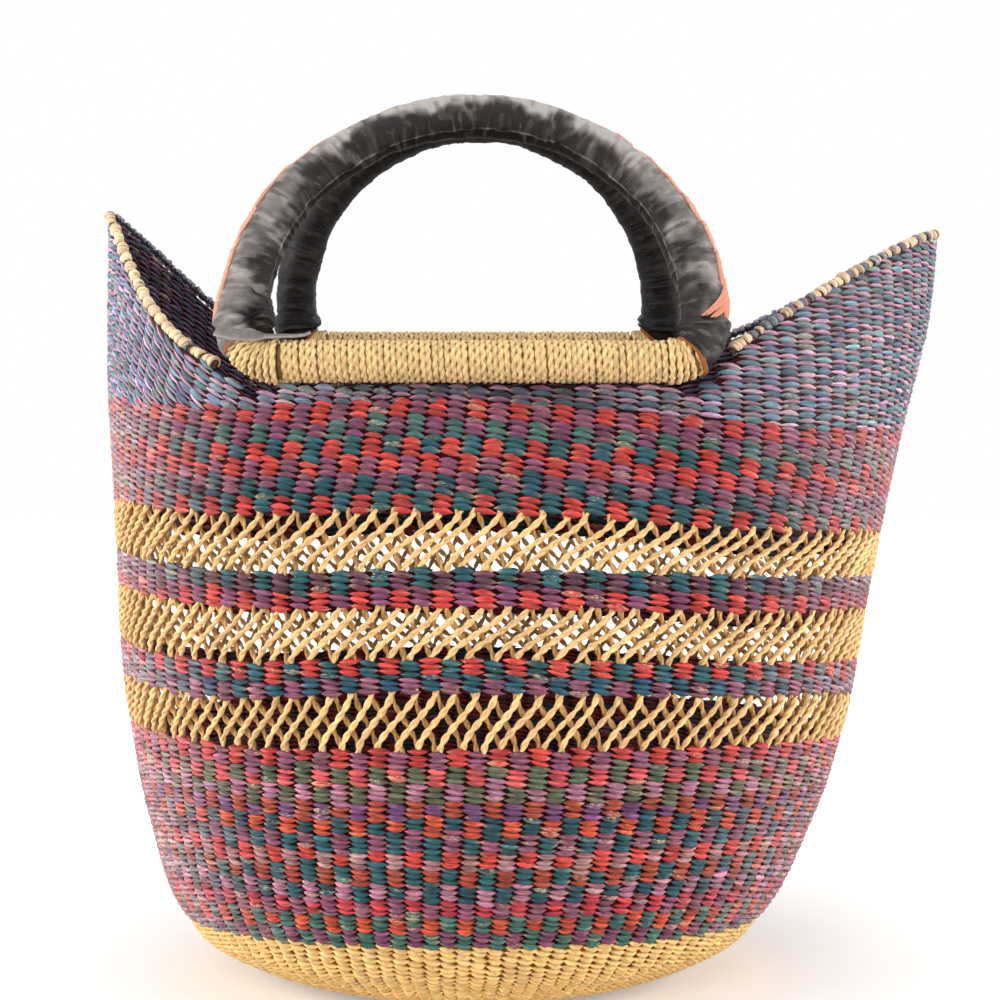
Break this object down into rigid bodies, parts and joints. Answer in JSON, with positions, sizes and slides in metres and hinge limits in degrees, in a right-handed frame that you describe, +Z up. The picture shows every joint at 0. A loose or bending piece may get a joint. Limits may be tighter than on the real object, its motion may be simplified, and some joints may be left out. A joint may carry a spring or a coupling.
{
  "type": "woven tote bag",
  "caption": "Twined straw shopping basket with openwork bands, two raised wings and leather-bound loop handles that tilt.",
  "frame": {"origin": "middle of the base, on the surface that the basket stands on", "axes": "+Z up; -Y towards the lower, front rim; +X towards the right wing, as seen from the front"},
  "size_m": [0.4592, 0.2846, 0.4869],
  "materials": {
    "straw": "undyed twisted elephant-grass straw, satin",
    "dyed_weave": "straw dyed red, mauve and teal, satin",
    "wing_weave": "straw dyed navy, lavender and teal, satin",
    "cane": "plain cane bundle",
    "dark_leather": "soft creased goatskin, semi-gloss",
    "coral_thong": "dyed leather lacing",
    "tan_leather": "raw edge of the leather"
  },
  "bodies": {
    "basket": {"base_floor": "straw", "base_side": "straw", "lower_band": "dyed_weave", "lower_lattice": "straw", "lower_stripe": "dyed_weave", "middle_lattice": "straw", "upper_stripe": "dyed_weave", "upper_lattice": "straw", "upper_band": "dyed_weave", "wing_weave": "wing_weave", "left_wing_edging": "straw", "right_wing_edging": "straw", "front_rim_sleeve": "straw", "front_rim_winding": "straw", "rear_rim_sleeve": "straw", "rear_rim_winding": "straw"},
    "front_handle": {"front_handle_bar": "cane", "front_handle_grip": "dark_leather", "front_handle_seam": "coral_thong", "front_left_collar": "dark_leather", "front_right_collar": "dark_leather", "front_left_binding": "tan_leather", "front_right_binding": "tan_leather", "front_thong_tail": "dark_leather"},
    "rear_handle": {"rear_handle_bar": "cane", "rear_handle_grip": "dark_leather", "rear_handle_seam": "coral_thong", "rear_left_collar": "dark_leather", "rear_right_collar": "dark_leather", "rear_left_binding": "tan_leather", "rear_right_binding": "tan_leather"}
  },
  "joints": [
    {"name": "front_handle_tilt", "type": "hinge", "parent": "basket", "child": "front_handle", "pos_m": [0.0008, -0.10478, 0.3203], "axis": [1, 0, 0], "range_deg": [-22, 60]},
    {"name": "rear_handle_tilt", "type": "hinge", "parent": "basket", "child": "rear_handle", "pos_m": [0.0008, 0.10317, 0.347], "axis": [-1, 0, 0], "range_deg": [-22, 60]}
  ]
}
